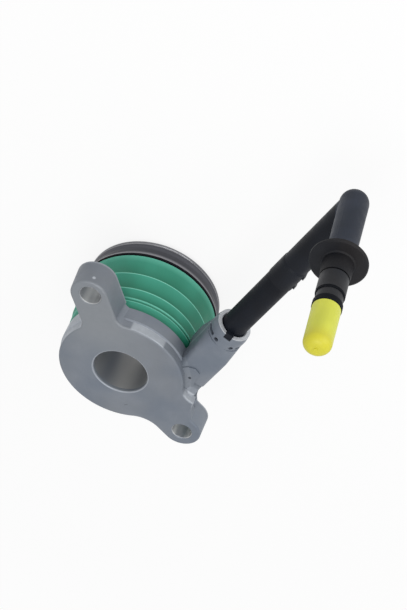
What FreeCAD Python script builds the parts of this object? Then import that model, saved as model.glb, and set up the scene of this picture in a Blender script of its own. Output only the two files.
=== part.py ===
import FreeCAD, Part
import math
import os
from FreeCAD import Vector as V

# Hydraulic clutch slave cylinder of the concentric type, in millimetres.
# The origin is the centre of the guide bore on the mounting face, which faces +Z.
# The part stands on the release bearing, which points down.

# Guide sleeve and the bore through the part
guide_bore_radius = 13.0
sleeve_wall = 1.5
sleeve_length = 40.0
sleeve_chamfer = 0.5
snap_groove_depth = 0.6
snap_ring_thickness = 1.2
snap_ring_width = 2.2
snap_ring_gap_deg = 24.0
sleeve_lip = 2.0
bore_chamfer = 0.4
press_seat = 7.0
sleeve_ring_depth = 3.4
sleeve_ring_height = 1.9
sleeve_ring_width = 1.5

# Mounting flange with its two ears
disc_radius = 29.7
disc_step = 4.0
ear_hole_spacing = 87.5
ear_hole_offset = 10.5
ear_hole_radius = 4.75
ear_hole_chamfer = 0.5
ear_line_shift = 1.2
ear_thickness = 12.5
right_ear_half_width = 8.5
right_ear_offset = 0.8
left_ear_half_width = 9.3
left_ear_offset = 0.2
ear_setback = 0.3
ear_draft = 0.8
ear_wide_fillet = 13.0
ear_fillet = 4.5
edge_round = 1.0

# Web between the disc, the inlet boss and the left ear, with a cast pocket before it
web_angle_deg = -122.6
web_sag = 2.0
web_start = 45.3
web_corner_width = 9.2
web_ear_reach = 40.0
web_ear_sag = 0.8
pocket_radius = 4.6
pocket_depth = 6.8
pocket_start_width = 2.5

# Cylinder body
collar_radius = 30.5
collar_bottom = 11.5
cylinder_bore_radius = 20.5
skirt_wall = 3.0
skirt_length = 27.0
lead_chamfer = 0.8

# Inlet boss, its axis runs beside the bore and parallel to the mounting face
pipe_axis_drop = 12.0
pipe_axis_offset = 26.6
pipe_axis_angle_deg = -58.5
mouth_distance = 53.1
mouth_radius = 8.1
boss_neck_radius = 8.6
boss_neck_length = 9.1
boss_half_height = 8.5
boss_shoulder = 12.5
boss_outer_width = 8.3
boss_inner_width = 8.4
boss_corner_radius = 2.5
boss_length = 57.0
boss_web_width = 12.8
boss_web_drop = 5.4
boot_clearance = 1.6
socket_depth = 22.0
socket_chamfer = 0.6
drilling_radius = 1.5
drilling_drop = 8.75
drilling_inner_reach = 8.0
plug_ball_radius = 2.5
plug_seat = 6.5
plug_press = 2.7
clip_position = 6.1
clip_spacing = 7.6
clip_wire_radius = 0.75
clip_hole_radius = 0.95
clip_slot_width = 1.6
clip_slot_depth = 2.2
key_offset = -0.75
key_width = 3.5
key_depth = 2.2

# Cast pad with a datum dot beside the boss, corners as distance behind the mouth and width
pad_corners = ((29.4, -4.4), (27.8, -1.2), (29.2, 1.9), (38.5, 3.7), (42.0, 2.0), (38.0, -5.0), (33.0, -7.0))
pad_drop = 3.0
pad_thickness = 5.0
pad_dot = (34.8, -0.1)
pad_dot_radius = 0.7
pad_dot_depth = 1.2

# Pressure pipe with its elbow and connector leg
pipe_radius = 5.84
pipe_bore_radius = 1.75
pipe_run = 86.3
pipe_joint = 36.5
spigot_radius = 4.35
spigot_length = 13.0
spigot_room = 0.5
pipe_ring_start = 13.1
pipe_ring_width = 2.2
backup_ring_width = 1.1
pipe_groove_width = 3.6
pipe_groove_depth = 1.7
pipe_tabs = ((40.4, 4.4), (47.4, 5.0))
pipe_tab_height = 0.6
pipe_tab_width = 3.0
pipe_tab_angle_deg = 16.0
elbow_sleeve_radius = 6.1
elbow_sleeve_length = 10.9
leg_radius = 5.5
leg_dome_drop = 2.4
leg_length = 32.2
leg_neck_radius = 4.6
grommet_radius = 11.0
grommet_thickness = 1.8
grommet_edge = 0.5
grommet_hub_radius = 6.0
grommet_hub_end_radius = 5.6
connector_start = 42.4
connector_radius = 5.45
connector_spigot_radius = 3.15
connector_spigot_length = 9.0
connector_waist_start = 51.2
connector_waist_radius = 5.0
seal_ring_width = 0.8
seal_ring_depth = 0.8
seal_ring_proud = 0.3
dust_ring_start = 55.8
dust_ring_radius = 5.45
nose_radius = 4.15
nose_start = 58.6
nose_length = 15.4
nose_groove_start = 62.0
nose_groove_depth = 1.1
nose_ring_width = 2.2
nose_tip_length = 2.0
nose_tip_step = 1.0
cap_length = 19.9
cap_mouth_radius = 5.2
cap_end_radius = 5.05
cap_end_round = 3.4
cap_end_room = 0.6
cap_gate_radius = 0.7
cap_gate_height = 0.25

# Piston, its seal and the preload spring
piston_top = 22.4
piston_step = 36.9
piston_counterbore_radius = 17.0
piston_flange_top = 40.2
piston_flange_thickness = 2.0
piston_flange_radius = 26.5
piston_foot_wall = 1.5
piston_edge = 0.4
seal_height = 3.0
seal_back = 1.0
seal_lip_start = 1.6
seal_lip_width = 0.7
seal_relief = 0.5
support_height = 1.2
support_gap = 0.1
spring_seat_thickness = 1.0
spring_seat_radius = 27.6
spring_seat_lip = 2.0
spring_wire_radius = 0.9
spring_mean_radius = 25.4
spring_turns = 5.0
spring_steps_per_turn = 30
spring_wire_sides = 10

# Dust boot, each fold is a crest radius and its depth under the mounting face
boot_wall = 1.2
boot_base_radius = 29.4
boot_base_depth = 11.8
boot_folds = ((30.8, 15.9), (31.0, 17.7), (31.65, 23.2), (32.9, 31.8), (34.2, 42.8))
boot_fold_step = 0.85
boot_fold_drop = 0.7
boot_bead_width = 1.8
boot_bead_depth = 1.8
boot_ring_radius = 34.4
boot_ring_width = 2.4

# Release bearing
bearing_top = 44.2
carrier_thickness = 1.2
carrier_radius = 34.2
carrier_edge = 0.3
carrier_bore_radius = 17.3
carrier_gap = 1.1
ball_radius = 2.38
ball_count = 20
ball_row_offset = 1.0
land_half_width = 1.6
ring_half_height = 3.3
outer_ring_radius = 30.6
bearing_section = 12.8
cover_wall = 2.92
cover_hollow = 0.9
cover_lip_thickness = 0.9
cover_lip_overlap = 2.2
cover_rim_step = 2.0
thrust_face_proud = 1.0
thrust_flange_overlap = 3.1
thrust_flange_thickness = 1.7
thrust_outer_edge = (0.9, 1.2)
thrust_inner_edge = (1.6, 2.4)
bearing_seal_thickness = 0.6
cage_half_width = 1.25
cage_back = 0.6
cage_depth = 3.6
centring_spring_thickness = 0.4
centring_spring_inset = 0.2
centring_spring_width = 5.1

# Side of the bearing cover, as shares of the hollow and of the height from the top
cover_profile = ((0.0, 0.0), (0.67, 0.09), (1.0, 0.24), (0.9, 0.46), (0.2, 0.63), (0.2, 0.68),
                 (0.9, 0.72), (0.9, 0.75), (0.3, 0.79), (0.3, 0.88), (0.9, 0.95))

# Clearances
running_clearance = 0.05
seal_clearance = 0.02
fit_clearance = 0.08
soft_clearance = 0.3
ball_clearance = 0.05
overshoot = 1.0

# Values that follow from the sizes above
sleeve_radius = guide_bore_radius + sleeve_wall
skirt_radius = cylinder_bore_radius + skirt_wall
socket_radius = pipe_radius + fit_clearance
right_ear = V(ear_line_shift + ear_hole_spacing / 2, -ear_hole_offset, 0)
left_ear = V(ear_line_shift - ear_hole_spacing / 2, -ear_hole_offset, 0)
snap_groove_top = piston_step + soft_clearance
cap_inner_radius = nose_radius + running_clearance
cap_start = nose_start + 2 * running_clearance
piston_radius = cylinder_bore_radius - running_clearance
piston_bore_radius = sleeve_radius + running_clearance
spring_seat_face = piston_flange_top - spring_seat_thickness
piston_bottom = bearing_top
carrier_bottom = bearing_top + carrier_thickness
ball_depth = carrier_bottom + carrier_gap + bearing_seal_thickness + ring_half_height
cover_bottom = ball_depth + ring_half_height + bearing_seal_thickness + cover_lip_thickness + 2 * ball_clearance
bearing_bottom = cover_bottom + thrust_face_proud
inner_ring_bore_radius = outer_ring_radius - bearing_section
ball_pitch_radius = (inner_ring_bore_radius + outer_ring_radius) / 2 + ball_row_offset
inner_land_radius = ball_pitch_radius - land_half_width
outer_land_radius = ball_pitch_radius + land_half_width
thrust_flange_radius = outer_ring_radius - thrust_flange_overlap
cover_lip_radius = outer_ring_radius - cover_lip_overlap

pipe_angle = math.radians(pipe_axis_angle_deg)
pipe_out = V(math.cos(pipe_angle), math.sin(pipe_angle), 0)
pipe_side = V(pipe_out.y, -pipe_out.x, 0)
mouth_centre = pipe_side * pipe_axis_offset + pipe_out * mouth_distance - V(0, 0, pipe_axis_drop)
elbow_centre = mouth_centre + pipe_out * pipe_run


def solid_of(shape):
    """The shape with merged faces, as one clean solid."""
    return shape.removeSplitter()


def turned(points):
    """A ring or shaft turned about +Z from (radius, height) points."""
    corners = [V(radius, 0, height) for radius, height in points]
    face = Part.Face(Part.makePolygon(corners + corners[:1]))
    return face.revolve(V(0, 0, 0), V(0, 0, 1), 360)


def tube(outer, inner, top, bottom):
    """A plain ring between two heights."""
    return turned([(inner, bottom), (outer, bottom), (outer, top), (inner, top)])


def rod(radius, start, end):
    """A round rod from one point to another."""
    return Part.makeCylinder(radius, (end - start).Length, start, end - start)


def arc_edge(centre, radius, start, end):
    """A circular edge between two angles in radians, level at the centre's height."""
    def at(angle):
        return centre + V(radius * math.cos(angle), radius * math.sin(angle), 0)
    return Part.Arc(at(start), at((start + end) / 2), at(end)).toShape()


def on_pipe_axis(shape):
    """Places a shape whose +Z runs into the boss from its mouth, with +Y as up."""
    turn = FreeCAD.Rotation(pipe_side, V(0, 0, 1), pipe_out * -1, "ZYX")
    return shape.transformed(FreeCAD.Placement(mouth_centre, turn).toMatrix(), True)


def on_leg_axis(shape):
    """Places a shape whose origin is the elbow and whose +Z runs up the leg."""
    return shape.translated(elbow_centre)


def boss_point(back, width, height=0):
    """A point at a distance behind the boss mouth and a width outside the pipe axis."""
    return pipe_side * (pipe_axis_offset + width) + pipe_out * (mouth_distance - back) + V(0, 0, height)


# Housing

def ear_outline(ear, half_width, offset, grow, high_fillet):
    """Lines and arcs of an ear, as if on the right, from its lower root round to its upper root."""
    radius = disc_radius + grow / 2
    half = half_width + grow
    tilt = math.atan2(ear.y, abs(ear.x))
    tip = V(ear.Length - ear_setback, offset, 0)

    def fillet_centre(fillet, side):
        height = offset + side * (half + fillet)
        return V(math.sqrt((radius + fillet) ** 2 - height ** 2), height, 0)

    low_centre = fillet_centre(ear_fillet, -1)
    high_centre = fillet_centre(high_fillet, 1)
    low_angle = math.atan2(low_centre.y, low_centre.x)
    high_angle = math.atan2(high_centre.y, high_centre.x)
    quarter = math.pi / 2
    edges = [
        arc_edge(low_centre, ear_fillet, low_angle + math.pi, quarter),
        Part.makeLine(V(low_centre.x, offset - half, 0), tip - V(0, half, 0)),
        arc_edge(tip, half, -quarter, quarter),
        Part.makeLine(tip + V(0, half, 0), V(high_centre.x, offset + half, 0)),
        arc_edge(high_centre, high_fillet, -quarter, high_angle - math.pi),
    ]
    turn = FreeCAD.Placement(V(0, 0, 0), V(0, 0, 1), math.degrees(tilt)).toMatrix()
    edges = [edge.transformed(turn, True) for edge in edges]
    return edges, low_angle + tilt, high_angle + tilt, radius


def flange_wire(grow, height):
    """The whole flange outline, a disc with a filleted ear on each side."""
    right, right_low, right_high, radius = ear_outline(
        right_ear, right_ear_half_width, right_ear_offset, grow, ear_fillet)
    left, left_low, left_high, radius = ear_outline(
        left_ear, left_ear_half_width, left_ear_offset, grow, ear_wide_fillet)
    left = [edge.mirror(V(0, 0, 0), V(1, 0, 0)) for edge in left]
    top = arc_edge(V(0, 0, 0), radius, right_high, math.pi - left_high)
    bottom = arc_edge(V(0, 0, 0), radius, math.pi - left_low, 2 * math.pi + right_low)
    wire = Part.Wire(Part.__sortEdges__(right + [top] + left + [bottom]))
    wire.translate(V(0, 0, height))
    return wire


def boot_space():
    """Room round the dust boot, under the collar."""
    return rod(boot_folds[1][0] + boot_clearance, V(0, 0, -collar_bottom), V(0, 0, -bearing_bottom))


def sagged_arc(start, end, sag):
    """A level arc between two points that bends to the right of the way from start to end."""
    chord = end - start
    middle = (start + end) / 2 + V(chord.y, -chord.x, 0).normalize() * sag
    return Part.Arc(start, middle, end).toShape()


def ear_web():
    """Web at full height between the disc, the outer side of the boss and the left ear."""
    angle = math.radians(web_angle_deg)
    disc_side = V(disc_radius * math.cos(angle), disc_radius * math.sin(angle), 0)
    corner = boss_point(web_start, web_corner_width)
    along = V(left_ear).normalize()
    inside_ear = along * web_ear_reach
    half = left_ear_half_width - left_ear_offset + ear_draft / 2
    ear_side = inside_ear + V(-along.y, along.x, 0) * half
    line = Part.makePolygon([ear_side, inside_ear, disc_side / 2, disc_side])
    arcs = [sagged_arc(disc_side, corner, web_sag), sagged_arc(corner, ear_side, web_ear_sag)]
    return Part.Face(Part.Wire(arcs + line.Edges)).extrude(V(0, 0, -ear_thickness))


def ear_hole(ear):
    """Through hole with a chamfer at the mounting face."""
    low = -ear_thickness - overshoot
    wide = ear_hole_radius + ear_hole_chamfer
    return turned([
        (0, overshoot), (wide, overshoot), (wide, 0), (ear_hole_radius, -ear_hole_chamfer),
        (ear_hole_radius, low), (0, low)]).translated(ear)


def flange():
    """Cast flange with drafted ears and a rounded front edge."""
    body = Part.makeLoft([flange_wire(0, 0), flange_wire(ear_draft, -ear_thickness)], True, True)
    body = body.fuse(ear_web()).removeSplitter()
    front = [edge for edge in body.Edges if edge.BoundBox.ZMin > -overshoot / 100]
    body = body.makeFillet(edge_round, front)
    return body.cut([ear_hole(right_ear), ear_hole(left_ear), boot_space()])


def cylinder_body():
    """Collar and skirt round the pressure chamber."""
    inside = disc_radius - overshoot
    return turned([
        (0, -overshoot), (inside, -overshoot), (inside, -disc_step),
        (collar_radius - edge_round, -disc_step), (collar_radius, -disc_step - edge_round),
        (collar_radius, -collar_bottom), (skirt_radius, -collar_bottom),
        (skirt_radius, -skirt_length), (0, -skirt_length)])


def boss_section(back, outer, inner, down, corner):
    """A rounded section of the boss at a distance behind its mouth."""
    up = boss_half_height
    right, left = outer - corner, corner - inner
    top, low = up - corner, corner - down
    quarter = math.pi / 2
    edges = [
        arc_edge(V(right, top, 0), corner, 0, quarter),
        Part.makeLine(V(right, up, 0), V(left, up, 0)),
        arc_edge(V(left, top, 0), corner, quarter, 2 * quarter),
        Part.makeLine(V(-inner, top, 0), V(-inner, low, 0)),
        arc_edge(V(left, low, 0), corner, 2 * quarter, 3 * quarter),
        Part.makeLine(V(left, -down, 0), V(right, -down, 0)),
        arc_edge(V(right, low, 0), corner, 3 * quarter, 4 * quarter),
        Part.makeLine(V(outer, low, 0), V(outer, top, 0)),
    ]
    wire = Part.Wire(edges)
    wire.translate(V(0, 0, back))
    return wire


def inlet_boss():
    """Boss for the pressure pipe, running as a web into the root of the left ear."""
    height = boss_half_height
    neck = turned([
        (0, 0), (mouth_radius, 0), (boss_neck_radius, clip_position / 2), (boss_neck_radius, boss_neck_length),
        (height - soft_clearance, boss_neck_length + overshoot), (0, boss_neck_length + overshoot)])
    shoulder_width = (height + boss_outer_width) / 2
    sections = [
        boss_section(boss_neck_length - overshoot, height, height, height, height - edge_round),
        boss_section(boss_shoulder, shoulder_width, boss_inner_width, height, 2 * boss_corner_radius),
        boss_section(socket_depth - ear_fillet, boss_outer_width, boss_inner_width, height, boss_corner_radius),
        boss_section(web_start, boss_outer_width, boss_inner_width, height, boss_corner_radius),
        boss_section(boss_length, boss_web_width, boss_inner_width, boss_web_drop, boss_corner_radius),
    ]
    body = neck.fuse(Part.makeLoft(sections, True, True))
    return on_pipe_axis(body).cut(boot_space())


def cast_pad():
    """Raised pad that joins the boss to the disc beside the datum dot."""
    corners = [boss_point(back, width, -pad_drop) for back, width in pad_corners]
    face = Part.Face(Part.makePolygon(corners + corners[:1]))
    dot = boss_point(*pad_dot, -pad_drop)
    hole = rod(pad_dot_radius, dot + V(0, 0, overshoot), dot - V(0, 0, pad_dot_depth))
    return face.extrude(V(0, 0, -pad_thickness)), hole


def cast_pocket():
    """Scoop across the outer half of the boss in front of the web."""
    back = web_start - pocket_radius
    axis_height = pocket_radius - pocket_depth
    scoop = rod(pocket_radius, boss_point(back, pocket_start_width, axis_height),
                boss_point(back, 2 * boss_outer_width, axis_height))
    return scoop.cut(rod(disc_radius, V(0, 0, overshoot), V(0, 0, -bearing_bottom)))


def clip_slot(side):
    """Narrow slot round the neck beside a clip hole."""
    half = clip_slot_width / 2
    inner = boss_neck_radius - clip_slot_depth
    outer = boss_neck_radius + clip_slot_depth
    ring = tube(outer, inner, clip_position + half, clip_position - half)
    depth = clip_slot_width + overshoot
    start = V(side * outer - outer / 2, 0, clip_position - depth / 2)
    return ring.common(Part.makeBox(outer, boss_half_height - clip_slot_depth, depth, start))


def inlet_passages():
    """Pipe socket, pressure drilling, cross drilling, clip holes and slots, and the key slot."""
    mouth = socket_radius + socket_chamfer
    socket = turned([
        (0, -overshoot), (mouth, -overshoot), (mouth, 0), (socket_radius, socket_chamfer),
        (socket_radius, socket_depth), (0, socket_depth + drilling_radius)])
    reach = boss_neck_radius + overshoot
    cuts = [clip_slot(-1), clip_slot(1)]
    for side in (-clip_spacing / 2, clip_spacing / 2):
        cuts.append(rod(clip_hole_radius, V(side, reach, clip_position), V(side, -reach, clip_position)))
    key_start = V(key_offset - key_width / 2, 0, -overshoot)
    cuts.append(Part.makeBox(key_width, reach, key_depth + overshoot, key_start))
    cuts = on_pipe_axis(socket.fuse(cuts))
    level = V(0, 0, pipe_axis_drop - drilling_drop)
    drill_start = mouth_centre - pipe_out * (socket_depth - overshoot) + level
    corner = drilling_corner()
    seat = corner + pipe_side * plug_seat
    cuts = cuts.fuse(rod(drilling_radius, drill_start, corner - pipe_out * drilling_radius))
    cuts = cuts.fuse(rod(drilling_radius, corner - pipe_side * drilling_inner_reach, seat + pipe_side))
    return cuts.fuse(rod(plug_ball_radius, seat, seat + pipe_side * 2 * boss_half_height))


def drilling_corner():
    """Where the pressure drilling meets the cross drilling."""
    return pipe_side * pipe_axis_offset - V(0, 0, drilling_drop)


def housing():
    pad, dot = cast_pad()
    boss = inlet_boss().cut(cast_pocket())
    body = flange().fuse([cylinder_body(), boss, pad])
    skirt_end = -skirt_length
    chamber = tube(cylinder_bore_radius, 0, -press_seat, skirt_end - overshoot)
    lead = cylinder_bore_radius + lead_chamfer
    lead_in = turned([
        (0, skirt_end - overshoot), (lead, skirt_end - overshoot), (lead, skirt_end),
        (cylinder_bore_radius, skirt_end + lead_chamfer), (0, skirt_end + lead_chamfer)])
    bore = turned([
        (0, overshoot), (guide_bore_radius + bore_chamfer, overshoot), (guide_bore_radius + bore_chamfer, 0),
        (guide_bore_radius, -bore_chamfer), (guide_bore_radius, -press_seat), (0, -press_seat)])
    sleeve_seat = tube(sleeve_radius, 0, -sleeve_lip, -press_seat - overshoot)
    ring_seat = tube(sleeve_radius + sleeve_ring_width + ball_clearance, guide_bore_radius,
                     -sleeve_ring_depth + ball_clearance, -sleeve_ring_depth - sleeve_ring_height - ball_clearance)
    bead = boot_base_radius - boot_wall
    bead_seat = tube(bead + soft_clearance, bead - boot_bead_width,
                     -collar_bottom + boot_bead_depth, -collar_bottom - overshoot)
    body = body.cut(chamber.fuse([lead_in, bore, sleeve_seat, ring_seat, bead_seat]))
    return solid_of(body.cut(inlet_passages().fuse(dot)))


# Guide sleeve and its small parts

def guide_sleeve():
    low = -sleeve_length
    outer, inner, edge = sleeve_radius, guide_bore_radius, sleeve_chamfer
    groove = outer - snap_groove_depth
    groove_top = -snap_groove_top
    groove_low = groove_top - snap_ring_thickness - 2 * running_clearance
    return turned([
        (inner, -sleeve_lip), (outer, -sleeve_lip), (outer, groove_top), (groove, groove_top),
        (groove, groove_low), (outer, groove_low), (outer, low + edge), (outer - edge, low), (inner, low)])


def sleeve_snap_ring():
    inner = sleeve_radius - snap_groove_depth + running_clearance
    outer = inner + snap_ring_width
    top = -snap_groove_top - running_clearance
    gap_width = 2 * outer * math.sin(math.radians(snap_ring_gap_deg / 2))
    gap = Part.makeBox(2 * outer, gap_width, 3 * snap_ring_thickness)
    gap.translate(V(0, -gap_width / 2, top - 2 * snap_ring_thickness))
    return tube(outer, inner, top, top - snap_ring_thickness).cut(gap)


def sleeve_o_ring():
    return tube(sleeve_radius + sleeve_ring_width, sleeve_radius,
                -sleeve_ring_depth, -sleeve_ring_depth - sleeve_ring_height)


# Piston group

def piston():
    flange_low = piston_flange_top + piston_flange_thickness
    outer, inner, edge = piston_radius, piston_bore_radius, piston_edge
    foot = outer + piston_foot_wall
    return turned([
        (inner + edge, -piston_top), (outer - edge, -piston_top), (outer, -piston_top - edge),
        (outer, -piston_flange_top), (piston_flange_radius, -piston_flange_top),
        (piston_flange_radius, -flange_low), (foot, -flange_low),
        (foot, -piston_bottom), (piston_counterbore_radius, -piston_bottom),
        (piston_counterbore_radius, -piston_step), (inner, -piston_step),
        (inner, -piston_top - edge)])


def seal_support_ring():
    return tube(piston_radius - support_gap, piston_bore_radius + support_gap,
                -piston_top + support_height, -piston_top)


def piston_seal():
    """Rubber cup with two lips that open towards the pressure."""
    low = -piston_top + support_height
    top = low + seal_height
    outer = cylinder_bore_radius - seal_clearance
    inner = sleeve_radius + seal_clearance
    middle = (outer + inner) / 2
    back, lip, width = low + seal_back, low + seal_lip_start, seal_lip_width
    return turned([
        (inner + seal_relief, low), (outer - seal_relief, low), (outer - seal_relief, back), (outer, lip),
        (outer, top), (outer - width, top), (middle + width, lip), (middle - width, lip),
        (inner + width, top), (inner, top), (inner, lip), (inner + seal_relief, back)])


def spring_seat():
    """Pressed cup that centres the spring on the piston flange."""
    low = -piston_flange_top
    face = low + spring_seat_thickness
    outer = spring_seat_radius
    inner = piston_radius + 2 * fit_clearance
    return turned([
        (inner, low), (outer, low), (outer, low + spring_seat_lip),
        (outer - spring_seat_thickness, low + spring_seat_lip),
        (outer - spring_seat_thickness, face), (inner, face)])


def preload_spring():
    """Open coil between the collar and the spring seat, lofted through turned wire sections."""
    top = -collar_bottom - soft_clearance - spring_wire_radius
    low = -spring_seat_face + soft_clearance + spring_wire_radius
    steps = round(spring_turns * spring_steps_per_turn)
    sections = []
    for step in range(steps + 1):
        turn = 2 * math.pi * step / spring_steps_per_turn
        outward = V(math.cos(turn), math.sin(turn), 0)
        centre = outward * spring_mean_radius + V(0, 0, low + (top - low) * step / steps)
        rim = []
        for side in range(spring_wire_sides + 1):
            angle = 2 * math.pi * side / spring_wire_sides
            rim.append(centre + outward * spring_wire_radius * math.cos(angle)
                       + V(0, 0, spring_wire_radius * math.sin(angle)))
        sections.append(Part.makePolygon(rim))
    return Part.makeLoft(sections, True, True)


def dust_boot():
    """Stepped bellows with a bead in the collar and a lip on the boot ring."""
    outline = [(boot_base_radius, -boot_base_depth)]
    for radius, depth in boot_folds[:-1]:
        outline.append((radius, -depth))
        outline.append((radius - boot_fold_step, -depth - boot_fold_drop))
    outline.append((boot_folds[-1][0], -boot_folds[-1][1]))
    inside = [(radius - boot_wall, height) for radius, height in reversed(outline)]
    inside[0] = (boot_folds[-1][0] - boot_ring_width, -boot_folds[-1][1])
    inside.insert(1, (boot_folds[-1][0] - boot_ring_width, -boot_folds[-1][1] + boot_wall))
    bead_outer = boot_base_radius - boot_wall
    bead_top = -collar_bottom + boot_bead_depth - soft_clearance
    bead = [
        (bead_outer - boot_bead_width + soft_clearance, -boot_base_depth),
        (bead_outer - boot_bead_width + soft_clearance, bead_top),
        (bead_outer, bead_top), (bead_outer, -boot_base_depth)]
    return turned(outline + inside[:-1] + [(inside[-1][0], inside[-1][1] - boot_wall)] + bead)


def boot_ring():
    top = -boot_folds[-1][1] - soft_clearance
    low = -bearing_top
    return tube(boot_ring_radius, boot_ring_radius - boot_ring_width, top, low)


# Release bearing

def bearing_carrier():
    """Plate on the piston that carries the bearing and closes the boot."""
    top, low, edge = -bearing_top, -carrier_bottom, carrier_edge
    return turned([
        (carrier_bore_radius, top), (carrier_radius - edge, top), (carrier_radius, top - edge),
        (carrier_radius, low + edge), (carrier_radius - edge, low), (carrier_bore_radius, low)])


def bearing_cover():
    """Pressed shell with a hollow band and a rolled rim round the bearing."""
    top, low = -carrier_bottom, -cover_bottom
    wall = outer_ring_radius + fit_clearance
    rim = wall + cover_wall
    lip_top = low + cover_lip_thickness
    side = [(rim - inward * cover_hollow, top - down * (top - low)) for inward, down in cover_profile]
    return turned([(wall, top)] + side + [
        (rim - cover_rim_step, low), (cover_lip_radius, low), (cover_lip_radius, lip_top), (wall, lip_top)])


def race(radius_inner, radius_outer):
    """A bearing ring with its ball groove."""
    ring = tube(radius_outer, radius_inner, -ball_depth + ring_half_height,
                -ball_depth - ring_half_height)
    groove = Part.makeTorus(ball_pitch_radius, ball_radius + ball_clearance, V(0, 0, -ball_depth))
    return ring.cut(groove)


def bearing_outer_ring():
    return race(outer_land_radius, outer_ring_radius)


def bearing_thrust_ring():
    """Rotating ring whose flange presses on the clutch fingers."""
    top = -carrier_bottom - carrier_gap
    low = -bearing_bottom
    flange_top = low + thrust_flange_thickness
    outer_rise, outer_step = thrust_outer_edge
    inner_rise, inner_step = thrust_inner_edge
    ring = turned([
        (inner_ring_bore_radius, top), (inner_land_radius, top), (inner_land_radius, flange_top),
        (thrust_flange_radius, flange_top), (thrust_flange_radius, low + outer_rise),
        (thrust_flange_radius - outer_step, low), (inner_ring_bore_radius + inner_step, low),
        (inner_ring_bore_radius, low + inner_rise)])
    groove = Part.makeTorus(ball_pitch_radius, ball_radius + ball_clearance, V(0, 0, -ball_depth))
    return ring.cut(groove)


def ball_centres():
    for number in range(ball_count):
        angle = 2 * math.pi * number / ball_count
        yield V(ball_pitch_radius * math.cos(angle), ball_pitch_radius * math.sin(angle), -ball_depth)


def bearing_balls():
    return Part.makeCompound([Part.makeSphere(ball_radius, centre) for centre in ball_centres()])


def ball_cage():
    """Plastic snap cage, a ring with a pocket for each ball in its lower side."""
    pocket_radius = ball_radius + 2 * ball_clearance
    top = -ball_depth + pocket_radius + cage_back
    ring = tube(ball_pitch_radius + cage_half_width, ball_pitch_radius - cage_half_width,
                top, top - cage_depth)
    pockets = [Part.makeSphere(pocket_radius, centre) for centre in ball_centres()]
    return solid_of(ring.cut(pockets))


def bearing_seal(side):
    """Thin shield beside the balls, on the upper (1) or lower (-1) side."""
    start = -ball_depth + side * ring_half_height
    end = start + side * bearing_seal_thickness
    return tube(outer_ring_radius, inner_land_radius + soft_clearance, max(start, end), min(start, end))


def centring_spring():
    """Shallow cone washer that lets the bearing find its centre."""
    low = -ball_depth + ring_half_height + bearing_seal_thickness
    top = -carrier_bottom
    thick = centring_spring_thickness
    outer = outer_ring_radius - centring_spring_inset
    inner = outer - centring_spring_width
    return turned([(outer, low), (outer, low + thick), (inner, top), (inner, top - thick)])


# Pressure pipe group, drawn along its own axis from the boss mouth

def pipe_key():
    """Key on the pipe that stops it from turning in the boss mouth."""
    width = key_width - 2 * fit_clearance
    start = V(key_offset - width / 2, 0, -edge_round)
    key = Part.makeBox(width, mouth_radius, key_depth + edge_round - fit_clearance, start)
    return key.cut(rod(pipe_radius - overshoot, V(0, 0, -2 * key_depth), V(0, 0, 2 * key_depth)))


def pressure_pipe():
    """Straight pipe whose end plugs into the boss and is held by the wire clip."""
    groove_half = clip_wire_radius + 3 * running_clearance
    groove_radius = clip_spacing / 2 - clip_wire_radius - running_clearance
    end = socket_depth - spigot_room
    ring_end = pipe_ring_start + pipe_groove_width
    ring_seat = pipe_radius - pipe_groove_depth
    spigot_bore = spigot_radius + running_clearance
    spigot_end = spigot_length + spigot_room - pipe_joint
    pipe = turned([
        (spigot_bore, -pipe_joint), (pipe_radius, -pipe_joint),
        (pipe_radius, clip_position - groove_half), (groove_radius, clip_position - groove_half),
        (groove_radius, clip_position + groove_half), (pipe_radius, clip_position + groove_half),
        (pipe_radius, pipe_ring_start), (ring_seat, pipe_ring_start), (ring_seat, ring_end),
        (pipe_radius, ring_end), (pipe_radius, end - overshoot), (pipe_radius - overshoot, end),
        (pipe_bore_radius, end), (pipe_bore_radius, spigot_end), (spigot_bore, spigot_end)])
    return on_pipe_axis(solid_of(pipe.fuse(pipe_key())))


def pipe_ring(start, width):
    """A ring in the seal groove of the pipe."""
    return on_pipe_axis(tube(socket_radius - seal_clearance, pipe_radius - pipe_groove_depth,
                             start + width, start))


def pipe_o_ring():
    return pipe_ring(pipe_ring_start + support_gap, pipe_ring_width)


def pipe_backup_ring():
    return pipe_ring(pipe_ring_start + pipe_ring_width + 2 * support_gap, backup_ring_width)


def pipe_clip():
    """Wire fork, its legs pass the pipe groove and its bridge lies under the boss."""
    half = clip_spacing / 2
    low = -boss_neck_radius - clip_wire_radius - 4 * running_clearance
    top = boss_neck_radius - clip_slot_depth
    bend = 2 * clip_wire_radius
    path = Part.Wire([
        Part.makeLine(V(-half, top, 0), V(-half, low + bend, 0)),
        arc_edge(V(-half + bend, low + bend, 0), bend, math.pi, 1.5 * math.pi),
        Part.makeLine(V(-half + bend, low, 0), V(half - bend, low, 0)),
        arc_edge(V(half - bend, low + bend, 0), bend, 1.5 * math.pi, 2 * math.pi),
        Part.makeLine(V(half, low + bend, 0), V(half, top, 0))])
    section = Part.Wire(Part.makeCircle(clip_wire_radius, V(-half, top, 0), V(0, 1, 0)))
    clip = path.makePipeShell([section], True, False)
    clip.translate(V(0, 0, clip_position))
    return on_pipe_axis(clip)


def pipe_tab(distance, length):
    """Small ramp on the outer side of the elbow sleeve, steep towards the boss."""
    side = -pipe_tab_width / 2
    inner, outer = elbow_sleeve_radius - overshoot, elbow_sleeve_radius + pipe_tab_height
    near, far = -distance + length / 2, -distance - length / 2
    corners = [V(inner, side, near), V(outer, side, near), V(inner, side, far)]
    face = Part.Face(Part.makePolygon(corners + corners[:1]))
    return face.extrude(V(0, pipe_tab_width, 0)).rotated(V(0, 0, 0), V(0, 0, 1), pipe_tab_angle_deg)


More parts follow.
